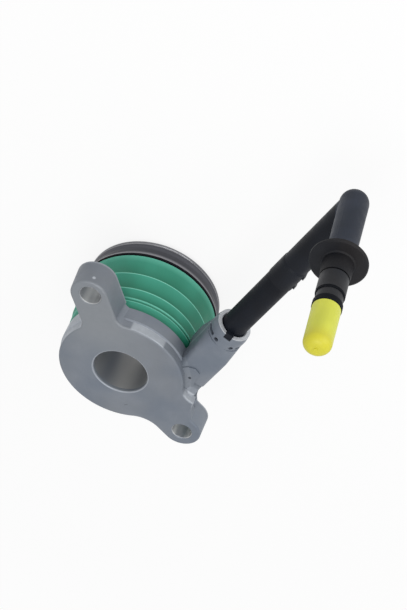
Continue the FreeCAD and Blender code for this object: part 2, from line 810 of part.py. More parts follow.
def pipe_elbow():
    """Moulded elbow with a spigot in the pipe and a leg that turns up to the connector."""
    sleeve_end = -pipe_joint - elbow_sleeve_length
    leg_end = connector_start - 2 * running_clearance
    run = turned([
        (0, -pipe_joint + spigot_length), (0, -pipe_run), (pipe_radius, -pipe_run),
        (pipe_radius, sleeve_end - edge_round), (elbow_sleeve_radius, sleeve_end),
        (elbow_sleeve_radius, -pipe_joint), (spigot_radius, -pipe_joint),
        (spigot_radius, -pipe_joint + spigot_length)])
    leg = turned([
        (0, -leg_dome_drop), (pipe_radius, -leg_dome_drop), (pipe_radius, 0), (leg_radius, leg_length),
        (leg_neck_radius, leg_length), (leg_neck_radius, leg_end), (0, leg_end)])
    bend = Part.makeSphere(pipe_radius, elbow_centre)
    dome = Part.makeSphere(pipe_radius, elbow_centre - V(0, 0, leg_dome_drop))
    tabs = [on_pipe_axis(pipe_tab(distance, length)) for distance, length in pipe_tabs]
    body = on_pipe_axis(run).fuse([on_leg_axis(leg), bend, dome] + tabs)
    bore_start = elbow_centre - pipe_out * (pipe_run - pipe_joint + spigot_length + overshoot)
    body = body.cut(rod(pipe_bore_radius, bore_start, elbow_centre))
    body = body.cut(rod(pipe_bore_radius, elbow_centre, elbow_centre + V(0, 0, connector_start)))
    seat_depth = connector_spigot_length + overshoot
    seat_start = elbow_centre + V(0, 0, connector_start - seat_depth)
    seat = rod(connector_spigot_radius + running_clearance, seat_start, seat_start + V(0, 0, 2 * seat_depth))
    return solid_of(body.cut(seat))


def pipe_grommet():
    """Rubber disc that seals the leg in the bell housing wall."""
    start, edge = leg_length, grommet_edge
    face = start + grommet_thickness
    hub_end = connector_start - soft_clearance
    return on_leg_axis(turned([
        (leg_neck_radius, start), (grommet_radius - edge, start), (grommet_radius, start + edge),
        (grommet_radius, face - edge), (grommet_radius - edge, face), (grommet_hub_radius + edge, face),
        (grommet_hub_radius, face + edge), (grommet_hub_end_radius, hub_end), (leg_neck_radius, hub_end)]))


def line_connector():
    """Plug-in connector, its spigot sits in the leg and its nose takes the coupling."""
    waist, waist_ring_end = connector_waist_start, connector_waist_start + seal_ring_width
    spigot_start = connector_start - connector_spigot_length
    ring_seat = connector_waist_radius - seal_ring_depth
    nose_end = nose_start + nose_length
    groove, groove_end = nose_radius - nose_groove_depth, nose_groove_start + nose_ring_width
    edge = carrier_edge
    return on_leg_axis(turned([
        (pipe_bore_radius, spigot_start), (connector_spigot_radius, spigot_start),
        (connector_spigot_radius, connector_start), (connector_radius - edge, connector_start),
        (connector_radius, connector_start + edge), (connector_radius, waist), (ring_seat, waist),
        (ring_seat, waist_ring_end), (connector_waist_radius, waist_ring_end),
        (connector_waist_radius, dust_ring_start), (nose_radius, dust_ring_start),
        (nose_radius, nose_groove_start), (groove, nose_groove_start), (groove, groove_end),
        (nose_radius, groove_end), (nose_radius, nose_end - nose_tip_length),
        (nose_radius - nose_tip_step, nose_end), (pipe_bore_radius, nose_end)]))


def connector_ring():
    start = connector_waist_start
    return on_leg_axis(tube(connector_waist_radius + seal_ring_proud, connector_waist_radius - seal_ring_depth,
                            start + seal_ring_width, start))


def dust_ring():
    edge = carrier_edge
    return on_leg_axis(turned([
        (nose_radius, dust_ring_start), (dust_ring_radius - edge, dust_ring_start),
        (dust_ring_radius, dust_ring_start + edge), (dust_ring_radius, nose_start - edge),
        (dust_ring_radius - edge, nose_start), (nose_radius, nose_start)]))


def nose_o_ring():
    return on_leg_axis(tube(nose_radius + seal_clearance, nose_radius - nose_groove_depth,
                            nose_groove_start + nose_ring_width, nose_groove_start))


def protective_cap():
    """Closed transport cap that is pushed over the connector nose."""
    end = cap_start + cap_length
    inside = nose_start + nose_length + cap_end_room
    outer = turned([
        (0, cap_start), (cap_mouth_radius, cap_start), (cap_end_radius, end), (0, end)])
    rim = [edge for edge in outer.Edges
           if edge.BoundBox.ZMin > end - running_clearance and edge.BoundBox.XLength > cap_end_radius]
    outer = outer.makeFillet(cap_end_round, rim)
    outer = outer.fuse(rod(cap_gate_radius, V(0, 0, inside), V(0, 0, end + cap_gate_height)))
    hollow = rod(cap_inner_radius, V(0, 0, cap_start - overshoot), V(0, 0, inside))
    return on_leg_axis(outer.cut(hollow))


def cross_drilling_plug():
    """Steel ball pressed into the outer end of the cross drilling."""
    return Part.makeSphere(plug_ball_radius, drilling_corner() + pipe_side * (plug_seat + plug_press))


pieces = {
    "housing": housing,
    "guide_sleeve": guide_sleeve,
    "sleeve_o_ring": sleeve_o_ring,
    "sleeve_snap_ring": sleeve_snap_ring,
    "cross_drilling_plug": cross_drilling_plug,
    "piston": piston,
    "seal_support_ring": seal_support_ring,
    "piston_seal": piston_seal,
    "spring_seat": spring_seat,
    "preload_spring": preload_spring,
    "dust_boot": dust_boot,
    "boot_ring": boot_ring,
    "bearing_carrier": bearing_carrier,
    "bearing_cover": bearing_cover,
    "centring_spring": centring_spring,
    "bearing_outer_ring": bearing_outer_ring,
    "bearing_thrust_ring": bearing_thrust_ring,
    "bearing_balls": bearing_balls,
    "ball_cage": ball_cage,
    "bearing_rear_seal": lambda: bearing_seal(1),
    "bearing_front_seal": lambda: bearing_seal(-1),
    "pressure_pipe": pressure_pipe,
    "pipe_o_ring": pipe_o_ring,
    "pipe_backup_ring": pipe_backup_ring,
    "pipe_clip": pipe_clip,
    "pipe_elbow": pipe_elbow,
    "pipe_grommet": pipe_grommet,
    "line_connector": line_connector,
    "connector_ring": connector_ring,
    "dust_ring": dust_ring,
    "nose_o_ring": nose_o_ring,
    "protective_cap": protective_cap,
}

os.makedirs("parts", exist_ok=True)
for name, make in pieces.items():
    shape = make()
    box = shape.BoundBox
    print(f"{name:22s} valid {shape.isValid()} solids {len(shape.Solids)} volume {shape.Volume:9.1f}"
          f" z {box.ZMin:7.2f} {box.ZMax:7.2f}")
    shape.exportStep(f"parts/{name}.step")
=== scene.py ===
import bpy
import math
from mathutils import Matrix, Vector


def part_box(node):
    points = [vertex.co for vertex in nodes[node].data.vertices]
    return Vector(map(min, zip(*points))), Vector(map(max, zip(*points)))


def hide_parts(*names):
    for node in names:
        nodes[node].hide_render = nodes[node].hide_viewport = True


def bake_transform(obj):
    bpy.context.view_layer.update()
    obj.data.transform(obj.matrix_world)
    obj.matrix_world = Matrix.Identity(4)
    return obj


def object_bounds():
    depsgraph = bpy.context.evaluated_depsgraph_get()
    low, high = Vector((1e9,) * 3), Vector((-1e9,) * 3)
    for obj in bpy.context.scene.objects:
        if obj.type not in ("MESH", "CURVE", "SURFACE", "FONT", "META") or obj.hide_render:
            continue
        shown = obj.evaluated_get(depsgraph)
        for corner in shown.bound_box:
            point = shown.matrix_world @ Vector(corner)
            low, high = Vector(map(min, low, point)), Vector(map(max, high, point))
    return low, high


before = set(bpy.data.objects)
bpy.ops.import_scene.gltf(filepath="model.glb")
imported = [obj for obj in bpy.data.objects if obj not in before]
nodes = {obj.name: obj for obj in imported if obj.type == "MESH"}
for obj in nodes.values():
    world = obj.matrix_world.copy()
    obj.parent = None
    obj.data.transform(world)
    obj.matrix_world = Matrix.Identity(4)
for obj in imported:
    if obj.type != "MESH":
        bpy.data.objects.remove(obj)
cadLow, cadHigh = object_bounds()
mm = 0.001
print("frame loaded,", len(nodes), "nodes")


# camera, solved from the bore, the ear holes and the bearing rim
camera = {
    "place": (0.2703, -0.2775, 0.3248),
    "right": (-0.4392, -0.8619, -0.2534),
    "up": (0.7282, -0.1764, -0.6623),
    "back": (0.5261, -0.4754, 0.7051),
    "lens": 65.04,
    "sensor": 36.0,
    "nearest": 0.01,
}


def makeCamera():
    data = bpy.data.cameras.new("camera")
    data.lens = camera["lens"]
    data.sensor_width = camera["sensor"]
    data.clip_start = camera["nearest"]
    obj = bpy.data.objects.new("camera", data)
    bpy.context.scene.collection.objects.link(obj)
    axes = Matrix((camera["right"], camera["up"], camera["back"])).transposed()
    obj.matrix_world = Matrix.Translation(camera["place"]) @ axes.to_4x4()
    bpy.context.scene.camera = obj


makeCamera()
print("camera placed")


# material helpers, lengths on sockets are in metres
def metres(values):
    return [value * mm for value in values]


def startMaterial(name, color, roughness, metallic=0.0, specular=0.5):
    mat = bpy.data.materials.new(name)
    mat.use_nodes = True
    shader = mat.node_tree.nodes["Principled BSDF"]
    shader.inputs["Base Color"].default_value = (*color, 1)
    shader.inputs["Roughness"].default_value = roughness
    shader.inputs["Metallic"].default_value = metallic
    shader.inputs["Specular IOR Level"].default_value = specular
    return mat, mat.node_tree, shader


def objectPoint(tree, stretch=(1, 1, 1)):
    coords = tree.nodes.new("ShaderNodeTexCoord")
    mapping = tree.nodes.new("ShaderNodeMapping")
    mapping.inputs["Scale"].default_value = stretch
    tree.links.new(coords.outputs["Object"], mapping.inputs["Vector"])
    return mapping.outputs["Vector"]


def noise(tree, scale, detail=3, stretch=(1, 1, 1)):
    node = tree.nodes.new("ShaderNodeTexNoise")
    node.inputs["Scale"].default_value = scale
    node.inputs["Detail"].default_value = detail
    tree.links.new(objectPoint(tree, stretch), node.inputs["Vector"])
    return node.outputs["Fac"]


def math2(tree, operation, a, b=None):
    node = tree.nodes.new("ShaderNodeMath")
    node.operation = operation
    for socket, value in zip(node.inputs, (a, b)):
        if value is None:
            continue
        if isinstance(value, (int, float)):
            socket.default_value = value
        else:
            tree.links.new(value, socket)
    return node.outputs[0]


def spread(tree, value, low, high, outLow=0.0, outHigh=1.0):
    node = tree.nodes.new("ShaderNodeMapRange")
    node.interpolation_type = "SMOOTHSTEP"
    tree.links.new(value, node.inputs["Value"])
    limits = {"From Min": low, "From Max": high, "To Min": outLow, "To Max": outHigh}
    for name, number in limits.items():
        node.inputs[name].default_value = number
    return node.outputs["Result"]


def mixColor(tree, factor, a, b):
    node = tree.nodes.new("ShaderNodeMix")
    node.data_type = "RGBA"
    # inputs 6 and 7 and output 2 are the colour ones
    for number, value in ((0, factor), (6, a), (7, b)):
        if isinstance(value, tuple):
            node.inputs[number].default_value = (*value, 1)
        else:
            tree.links.new(value, node.inputs[number])
    return node.outputs[2]


def clouds(tree, scale, detail=3, reach=(0.3, 0.7), out=(0.0, 1.0), stretch=(1, 1, 1)):
    return spread(tree, noise(tree, scale, detail, stretch), *reach, *out)


def paint(tree, shader, color, rough, scale, detail=2, reach=(0.25, 0.75), stretch=(1, 1, 1)):
    tree.links.new(color, shader.inputs["Base Color"])
    patches = clouds(tree, scale, detail, reach, rough, stretch)
    tree.links.new(patches, shader.inputs["Roughness"])


def addBump(tree, shader, height, strength, distance):
    node = tree.nodes.new("ShaderNodeBump")
    node.inputs["Strength"].default_value = strength
    node.inputs["Distance"].default_value = distance
    tree.links.new(height, node.inputs["Height"])
    tree.links.new(node.outputs["Normal"], shader.inputs["Normal"])


def split3(tree, vector):
    node = tree.nodes.new("ShaderNodeSeparateXYZ")
    tree.links.new(vector, node.inputs[0])
    return node.outputs


def window(tree, value, low, high, soft):
    opening = spread(tree, value, low - soft, low + soft)
    closing = spread(tree, value, high + soft, high - soft)
    return math2(tree, "MULTIPLY", opening, closing)


def spot(tree, point, centre, radius, soft):
    node = tree.nodes.new("ShaderNodeVectorMath")
    node.operation = "DISTANCE"
    tree.links.new(point, node.inputs[0])
    node.inputs[1].default_value = metres(centre)
    return spread(tree, node.outputs["Value"], (radius + soft) * mm, (radius - soft) * mm)


def spotOf(tree, point, mark):
    return spot(tree, point, mark["centre"], mark["radius"], mark["soft"])


def meshValue(tree, name):
    node = tree.nodes.new("ShaderNodeAttribute")
    node.attribute_name = name
    return node.outputs["Fac"]


def allOf(tree, *parts):
    result = parts[0]
    for part in parts[1:]:
        result = math2(tree, "MULTIPLY", result, part)
    return result


# the finishes, colours are linear
finishes = {
    "castCool": (0.138, 0.162, 0.200),
    "castWarm": (0.168, 0.184, 0.208),
    "castPale": (0.196, 0.217, 0.252),
    # painted sheen on the front face round the upper ear
    "castSheen": (0.212, 0.228, 0.246),
    # bright cut metal, also used for the painted light and reflection on the casting
    "castCutAndLit": (0.420, 0.450, 0.490),
    "castDirt": (0.070, 0.080, 0.098),
    "holeBright": (0.560, 0.570, 0.570),
    # the machined mouth face, lighter than cut metal: cut metal with painted light
    "mouthCutAndLit": (0.500, 0.520, 0.550),
    "boreDark": (0.215, 0.235, 0.270),
    "boreLight": (0.610, 0.610, 0.595),
    "boreEnd": (0.650, 0.670, 0.690),
    "bootDark": (0.010, 0.160, 0.092),
    "bootLight": (0.046, 0.300, 0.208),
    # painted highlight along the boot's crests
    "bootCrestHighlight": (0.200, 0.620, 0.480),
    "bearingDark": (0.044, 0.045, 0.054),
    "bearingMid": (0.074, 0.075, 0.088),
    "bearingLight": (0.215, 0.215, 0.235),
    "bearingBright": (0.400, 0.400, 0.420),
    "carrier": (0.300, 0.290, 0.310),
    "pipeDark": (0.004, 0.005, 0.008),
    "pipeLight": (0.007, 0.009, 0.014),
    # the leg's colours, lighter and bluer than the run: painted sheen
    "legDark": (0.021, 0.026, 0.038),
    "legLight": (0.036, 0.043, 0.062),
    "rubber": (0.010, 0.009, 0.010),
    "seal": (0.002, 0.002, 0.003),
    "connector": (0.013, 0.013, 0.015),
    "capDark": (0.540, 0.560, 0.060),
    "capLight": (0.690, 0.710, 0.070),
    "capEnd": (0.560, 0.520, 0.036),
    "spring": (0.260, 0.260, 0.280),
    "ball": (0.700, 0.700, 0.710),
    "nylon": (0.500, 0.450, 0.340),
}

# machined and marked places on the casting, and places painted lighter for light and reflection, lengths
# in mm and angles in degrees
castMarks = {
    "cuts": (
        # two arcs of the machined register: cut metal with a painted reflection, bright only where its
        # turned face would reflect the light
        {"turn": (-72, -39.5), "radius": (28.5, 30.45), "depth": (-4.4, -0.35)},
        {"turn": (7, 50), "radius": (28.5, 31.5), "depth": (-12.0, -0.35)},
    ),
    "registerSoft": 0.1,
    "registerTurnSoft": 0.02,  # radians
    "depthSoft": 0.3,
    # painted sheen: a broad lighter patch on the front face round the upper ear
    "paintedSheen": {"centre": (34, -6, 0), "radius": 22, "soft": 18, "depth": (-1.2, -0.4)},
    "collar": {"radius": (28.0, 33.0), "soft": 0.2, "depth": (-0.8, -1.6)},
    # painted light: the lower ear's side wall made lighter, standing in for light falling on it
    "earWallLight": {"centre": (-40.0, -20.5, -5.0), "radius": 7.0, "soft": 3.0, "depth": (-0.6, -1.2)},
    # painted light: a lit wall in the pocket beside the pad, made lighter
    "pocket": {"centre": (-24.3, -24.0, -2.2), "radius": 4.6, "soft": 1.0, "depth": (-4.7, -0.3)},
    "gate": {"centre": (51.5, -15.3, -3.2), "radius": 0.7, "soft": 0.25},
    "rim": {"radius": (13.7, 13.5), "depth": (-1.2, -0.3), "shine": (0.45, 1.0)},
    "edge": {"radius": (31.6, 32.1), "depth": (-13.0, -11.7)},
    "mouth": {"angle": -58.5, "reach": (52.65, 52.85)},
    "earHoles": {"centres": ((44.95, -10.5), (-42.55, -10.5)), "radius": 4.95, "soft": 0.1},
    "scratch": {"x": (-20.3, -19.9), "y": (7.4, 9.2), "soft": 0.15},
    "strengths": {  # how much of the other colour shows in each place
        "paintedSheen": 0.85, "collar": 0.12, "earWallLight": 0.14, "cut": 0.85, "pocket": 0.8, "gate": 1.0,
        "rim": 0.55, "edge": 0.35, "scratch": 0.7,
    },
}


# where the cut metal shows and where light and reflection are painted on, each place from 0 to 1
def cutAndLitPlaces(tree, point):
    x, y, z = split3(tree, point)
    squares = [math2(tree, "MULTIPLY", axis, axis) for axis in (x, y)]
    radius = math2(tree, "SQRT", math2(tree, "ADD", *squares))
    turn = math2(tree, "ARCTAN2", y, x)
    registerSoft, depthSoft = metres((castMarks["registerSoft"], castMarks["depthSoft"]))
    # the register arcs get a painted reflection, mottled below
    cuts = []
    for cut in castMarks["cuts"]:
        low, high = (math.radians(value) for value in cut["turn"])
        cuts.append(allOf(tree, window(tree, turn, low, high, castMarks["registerTurnSoft"]),
                          window(tree, radius, *metres(cut["radius"]), registerSoft),
                          window(tree, z, *metres(cut["depth"]), registerSoft)))
    sheenMottle = clouds(tree, scale=240, reach=(0.25, 0.75), out=(0.75, 1.0))
    collar, earWallLight, pocket = castMarks["collar"], castMarks["earWallLight"], castMarks["pocket"]
    rim, edge = castMarks["rim"], castMarks["edge"]
    return {
        "collar": allOf(tree, window(tree, radius, *metres(collar["radius"]), collar["soft"] * mm),
                        spread(tree, z, *metres(collar["depth"]))),
        # painted light on the lower ear's side wall
        "earWallLight": allOf(tree, spotOf(tree, point, earWallLight),
                         spread(tree, z, *metres(earWallLight["depth"]))),
        "cut": math2(tree, "MULTIPLY", math2(tree, "ADD", *cuts), sheenMottle),
        # painted light on the pocket wall
        "pocket": allOf(tree, spotOf(tree, point, pocket),
                        window(tree, z, *metres(pocket["depth"]), depthSoft)),
        "gate": spotOf(tree, point, castMarks["gate"]),
        "rim": allOf(tree, spread(tree, radius, *metres(rim["radius"])),
                     spread(tree, z, *metres(rim["depth"]), *rim["shine"])),
        "edge": allOf(tree, spread(tree, radius, *metres(edge["radius"])),
                      window(tree, z, *metres(edge["depth"]), depthSoft)),
    }


def castMetal():
    mat, tree, shader = startMaterial("castMetal", finishes["castWarm"], roughness=0.5, metallic=0.3)
    strengths = castMarks["strengths"]
    hue = clouds(tree, scale=28, detail=2, reach=(0.35, 0.65))
    color = mixColor(tree, hue, finishes["castCool"], finishes["castWarm"])
    mottle = clouds(tree, scale=62, detail=4, reach=(0.35, 0.75), out=(0.0, 0.7))
    color = mixColor(tree, mottle, color, finishes["castPale"])
    point = objectPoint(tree)
    x, y, z = split3(tree, point)
    # painted sheen: the front face round the upper ear is made lighter, standing in for the light that
    # falls there
    sheenDepth = spread(tree, z, *metres(castMarks["paintedSheen"]["depth"]), 0.0, strengths["paintedSheen"])
    paintedSheen = allOf(tree, spotOf(tree, point, castMarks["paintedSheen"]), sheenDepth)
    color = mixColor(tree, paintedSheen, color, finishes["castSheen"])
    for name, place in cutAndLitPlaces(tree, point).items():
        amount = math2(tree, "MULTIPLY", place, strengths[name])
        color = mixColor(tree, amount, color, finishes["castCutAndLit"])
    # the machined mouth face, painted brighter than cut metal to stand in for the light it faces away
    # from
    angle = math.radians(castMarks["mouth"]["angle"])
    along = math2(tree, "ADD", math2(tree, "MULTIPLY", x, math.cos(angle)),
                  math2(tree, "MULTIPLY", y, math.sin(angle)))
    mouth = spread(tree, along, *metres(castMarks["mouth"]["reach"]))
    color = mixColor(tree, mouth, color, finishes["mouthCutAndLit"])
    flat = objectPoint(tree, (1, 1, 0))
    drilled = clouds(tree, scale=160, detail=2, reach=(0.35, 0.65), out=(0.25, 1.0),
                     stretch=(1, 1, 0.05))
    holes = castMarks["earHoles"]
    for centre in holes["centres"]:
        hole = spot(tree, flat, (*centre, 0), holes["radius"], holes["soft"])
        color = mixColor(tree, math2(tree, "MULTIPLY", hole, drilled), color, finishes["holeBright"])
    mark = castMarks["scratch"]
    scratch = allOf(tree, window(tree, x, *metres(mark["x"]), mark["soft"] * mm),
                    window(tree, y, *metres(mark["y"]), mark["soft"] * mm))
    dirt = math2(tree, "MULTIPLY", scratch, strengths["scratch"])
    color = mixColor(tree, dirt, color, finishes["castDirt"])
    paint(tree, shader, color, rough=(0.42, 0.56), scale=260, detail=3)
    addBump(tree, shader, noise(tree, scale=1500, detail=4), strength=0.16, distance=0.0004)
    return mat


# guide sleeve, heights in mm between which its bright end starts
sleeve = {"brightEnd": (-0.9, -0.4)}


def boreSteel():
    mat, tree, shader = startMaterial("boreSteel", finishes["boreLight"], roughness=0.36, metallic=0.6)
    streak = clouds(tree, scale=38, detail=2, stretch=(1, 1, 0.3))
    color = mixColor(tree, streak, finishes["boreDark"], finishes["boreLight"])
    end = spread(tree, split3(tree, objectPoint(tree))[2], *metres(sleeve["brightEnd"]))
    tree.links.new(mixColor(tree, end, color, finishes["boreEnd"]), shader.inputs["Base Color"])
    grain = noise(tree, scale=1400, detail=2, stretch=(1, 1, 0.15))
    addBump(tree, shader, grain, strength=0.05, distance=0.0002)
    return mat


# dust boot, lengths in mm; the base, the crests and the lip are a radius and a depth each
boot = {
    "wall": 1.2,
    "base": (29.4, 11.75),
    "bead": (26.7, 28.2, 10.0),  # inner and outer radius and depth of its top, in the groove
    "crests": ((30.8, 15.9), (31.0, 17.7), (31.65, 23.2), (32.9, 31.8)),
    "lip": (34.25, 42.8),
    "crestHighlight": (0.45, 0.55, 0.85, 0.9, 0.35),  # how bright the painted highlight on each crest is, the lip last
    "crestHighlightRun": (0.0, 0.0, 0.0, 0.0, 3.0),  # how far the painted highlight runs back from it
    "stepIn": 0.85,
    "stepDown": 0.7,
    "lipWidth": 2.2,
    "crestRun": 0.5,
    "crestSteps": 5,
    "flare": 0.75,  # 0 is a straight cone, 1 the deepest curve
    "longestRun": 0.7,
    "fewestRuns": 3,
    "around": 192,
    "cloudShade": 0.3,
    "foldShade": 0.8,
    "bossShadeTurn": (-125, -80),  # degrees, painted shade on the boot beside the inlet boss, where the boss shadows it
    "bossShadeSoft": 9,
    "bossShade": 0.6,
}


def bootRubber():
    mat, tree, shader = startMaterial("bootRubber", finishes["bootLight"], roughness=0.52, specular=0.35)
    folds = math2(tree, "MULTIPLY", meshValue(tree, "fold"), boot["foldShade"])
    shade = math2(tree, "ADD", clouds(tree, scale=55, out=(0.0, boot["cloudShade"])), folds)
    color = mixColor(tree, shade, finishes["bootDark"], finishes["bootLight"])
    # painted shade: the boot darkened beside the inlet boss, standing in for the boss's shadow
    x, y = split3(tree, objectPoint(tree))[:2]
    low, high = (math.radians(value) for value in boot["bossShadeTurn"])
    bossShadow = window(tree, math2(tree, "ARCTAN2", y, x), low, high, math.radians(boot["bossShadeSoft"]))
    bossShadeAmount = math2(tree, "MULTIPLY", bossShadow, boot["bossShade"])
    color = mixColor(tree, bossShadeAmount, color, finishes["bootDark"])
    # painted highlight: a lighter line along each crest, standing in for the light its rounded edge
    # catches
    color = mixColor(tree, meshValue(tree, "crest"), color, finishes["bootCrestHighlight"])
    paint(tree, shader, color, rough=(0.46, 0.58), scale=220)
    addBump(tree, shader, noise(tree, scale=1500), strength=0.06, distance=0.0003)
    return mat


# bands round the bearing shell, each a height in mm and a finish: painted reflection and shade, light
# rings where the turned shell would reflect the light and dark ones where its hollow lies in shade
bearingReflectionBands = (
    (-45.2, "bearingMid"), (-45.8, "bearingLight"), (-46.6, "bearingLight"), (-47.4, "bearingMid"),
    (-48.2, "bearingDark"), (-49.6, "bearingDark"), (-50.4, "bearingMid"), (-51.2, "bearingMid"),
    (-51.7, "bearingDark"), (-52.3, "bearingLight"), (-52.9, "bearingBright"), (-53.4, "bearingDark"),
    (-53.9, "bearingBright"), (-54.8, "bearingDark"),
)
turned = (1, 1, 14)  # stretch of a noise into fine lines round a turned piece


def bearingSteel():
    mat, tree, shader = startMaterial("bearingSteel", finishes["bearingMid"],
                                      roughness=0.34, metallic=0.6)
    # painted reflection and shade, ringed round the shell by height
    low, high = bearingReflectionBands[-1][0] * mm, bearingReflectionBands[0][0] * mm
    height = spread(tree, split3(tree, objectPoint(tree))[2], low, high)
    height.node.interpolation_type = "LINEAR"
    ramp = tree.nodes.new("ShaderNodeValToRGB")
    stops = ramp.color_ramp.elements
    while len(stops) < len(bearingReflectionBands):
        stops.new(0.5)
    for stop, (depth, finish) in zip(stops, reversed(bearingReflectionBands)):
        stop.position = (depth * mm - low) / (high - low)
        stop.color = (*finishes[finish], 1)
    tree.links.new(height, ramp.inputs["Fac"])
    mottle = clouds(tree, scale=40, out=(0.0, 0.35), stretch=turned)
    color = mixColor(tree, mottle, ramp.outputs["Color"], finishes["bearingMid"])
    paint(tree, shader, color, rough=(0.28, 0.40), scale=160, stretch=turned)
    addBump(tree, shader, noise(tree, scale=500, stretch=turned), strength=0.06, distance=0.0003)
    return mat


# moulded leg, its axis and radius in mm, inside which the elbow gets the leg's lighter colour, a painted
# sheen, and the heights between which the cap's end starts
leg = {
    "centre": (50.16, -132.76, 0),
    "radius": 6.3,
    "soft": 0.5,
    "capEnd": (58.0, 65.0),
}


def elbowPlastic():
    mat, tree, shader = startMaterial("elbowPlastic", finishes["pipeLight"],
                                      roughness=0.48, specular=0.15)
    mottle = clouds(tree, scale=70)
    run = mixColor(tree, mottle, finishes["pipeDark"], finishes["pipeLight"])
    # painted sheen: the upright leg is made lighter and bluer than the run, standing in for the light on
    # its side
    legSheen = mixColor(tree, mottle, finishes["legDark"], finishes["legLight"])
    inside = spotOf(tree, objectPoint(tree, (1, 1, 0)), leg)
    paint(tree, shader, mixColor(tree, inside, run, legSheen), rough=(0.42, 0.54), scale=280)
    addBump(tree, shader, noise(tree, scale=1400), strength=0.06, distance=0.0003)
    return mat


def capPlastic():
    mat, tree, shader = startMaterial("capPlastic", finishes["capLight"], roughness=0.44, specular=0.35)
    mottle = clouds(tree, scale=80, stretch=(1, 1, 0.4))
    side = mixColor(tree, mottle, finishes["capDark"], finishes["capLight"])
    end = spread(tree, split3(tree, objectPoint(tree))[2], *metres(leg["capEnd"]))
    paint(tree, shader, mixColor(tree, end, side, finishes["capEnd"]), rough=(0.38, 0.50), scale=300)
    addBump(tree, shader, noise(tree, scale=1100), strength=0.05, distance=0.0003)
    return mat


# name, dark and light colour, roughness, metallic, specular, scale and strength of the bump
plainFinishes = {
    "carrier": ("carrierSteel", "bearingLight", "carrier", 0.34, 0.80, 0.50, 500, 0.05),
    "pipe": ("pipePlastic", "pipeDark", "pipeLight", 0.52, 0.0, 0.12, 1400, 0.06),
    "rubber": ("blackRubber", "pipeDark", "rubber", 0.60, 0.0, 0.24, 1600, 0.08),
    "seal": ("sealRubber", "seal", "pipeDark", 0.62, 0.0, 0.10, 1600, 0.08),
    "connector": ("connectorPlastic", "pipeLight", "connector", 0.46, 0.0, 0.26, 1500, 0.05),
    "spring": ("springSteel", "bearingMid", "spring", 0.35, 0.85, 0.50, 900, 0.05),
    "plug": ("plugSteel", "castWarm", "castPale", 0.50, 0.3, 0.50, 900, 0.05),
    "ball": ("ballSteel", "carrier", "ball", 0.16, 0.95, 0.50, 900, 0.01),
    "nylon": ("cageNylon", "nylon", "nylon", 0.50, 0.0, 0.40, 900, 0.05),
}
turnedFinishes = {"carrier": {"stretch": turned, "cloudScale": 40}}
roughSway = 0.06  # how far the roughness varies to either side


def plainFinish(name, dark, light, roughness, metallic, specular, bumpScale, bumpStrength,
                stretch=(1, 1, 1), cloudScale=70):
    mat, tree, shader = startMaterial(name, finishes[light], roughness, metallic, specular)
    mottle = clouds(tree, cloudScale, stretch=stretch)
    color = mixColor(tree, mottle, finishes[dark], finishes[light])
    rough = (roughness - roughSway, roughness + roughSway)
    paint(tree, shader, color, rough, scale=cloudScale * 4, stretch=stretch)
    addBump(tree, shader, noise(tree, bumpScale, stretch=stretch), bumpStrength, distance=0.0003)
    return mat


def makeMaterials():
    made = {
        "cast": castMetal(),
        "bore": boreSteel(),
        "boot": bootRubber(),
        "bearing": bearingSteel(),
        "elbow": elbowPlastic(),
        "cap": capPlastic(),
    }
    for key, row in plainFinishes.items():
        made[key] = plainFinish(*row, **turnedFinishes.get(key, {}))
    return made


materials = makeMaterials()
print("materials made")

# the finish of each CAD node
nodeFinish = {
    "housing": "cast",
    "guide_sleeve": "bore", "sleeve_o_ring": "rubber", "sleeve_snap_ring": "spring",
    "cross_drilling_plug": "plug",
    "piston": "connector", "seal_support_ring": "nylon", "piston_seal": "rubber",
    "spring_seat": "carrier", "preload_spring": "spring",
    "dust_boot": "boot", "boot_ring": "seal",
    "bearing_carrier": "carrier", "bearing_cover": "bearing", "centring_spring": "spring",
    "bearing_outer_ring": "bearing", "bearing_thrust_ring": "carrier",
    "bearing_balls": "ball", "ball_cage": "nylon",
    "bearing_rear_seal": "rubber", "bearing_front_seal": "rubber",
    "pressure_pipe": "pipe", "pipe_o_ring": "rubber", "pipe_backup_ring": "nylon",
    "pipe_clip": "spring", "pipe_elbow": "elbow", "pipe_grommet": "rubber",
    "line_connector": "connector", "connector_ring": "seal", "dust_ring": "seal",
    "nose_o_ring": "rubber", "protective_cap": "cap",
}

for nodeName, finish in nodeFinish.items():
    slots = nodes[nodeName].data.materials
    slots.clear()
    slots.append(materials[finish])
print("CAD nodes finished")


# turned pieces, from a closed path of radius, height, fold and crest values
def lathe(name, path, around, material):
    ring = len(path)
    verts, folds, crests = [], [], []
    for turn in range(around):
        angle = 2 * math.pi * turn / around
        for radius, height, fold, crest in path:
            verts.append(metres((radius * math.cos(angle), radius * math.sin(angle), height)))
            folds.append(fold)
            crests.append(crest)
    faces = []
    for turn in range(around):
        here, ahead = turn * ring, (turn + 1) % around * ring
        for row in range(ring):
            following = (row + 1) % ring
            faces.append((here + row, here + following, ahead + following, ahead + row))
    mesh = bpy.data.meshes.new(name)
    mesh.from_pydata(verts, [], faces)
    for label, values in (("fold", folds), ("crest", crests)):
        mesh.attributes.new(label, "FLOAT", "POINT").data.foreach_set("value", values)
    mesh.update()
    for face in mesh.polygons:
        face.use_smooth = True
    mesh.materials.append(material)
    obj = bpy.data.objects.new(name, mesh)
    bpy.context.scene.collection.objects.link(obj)
    return obj


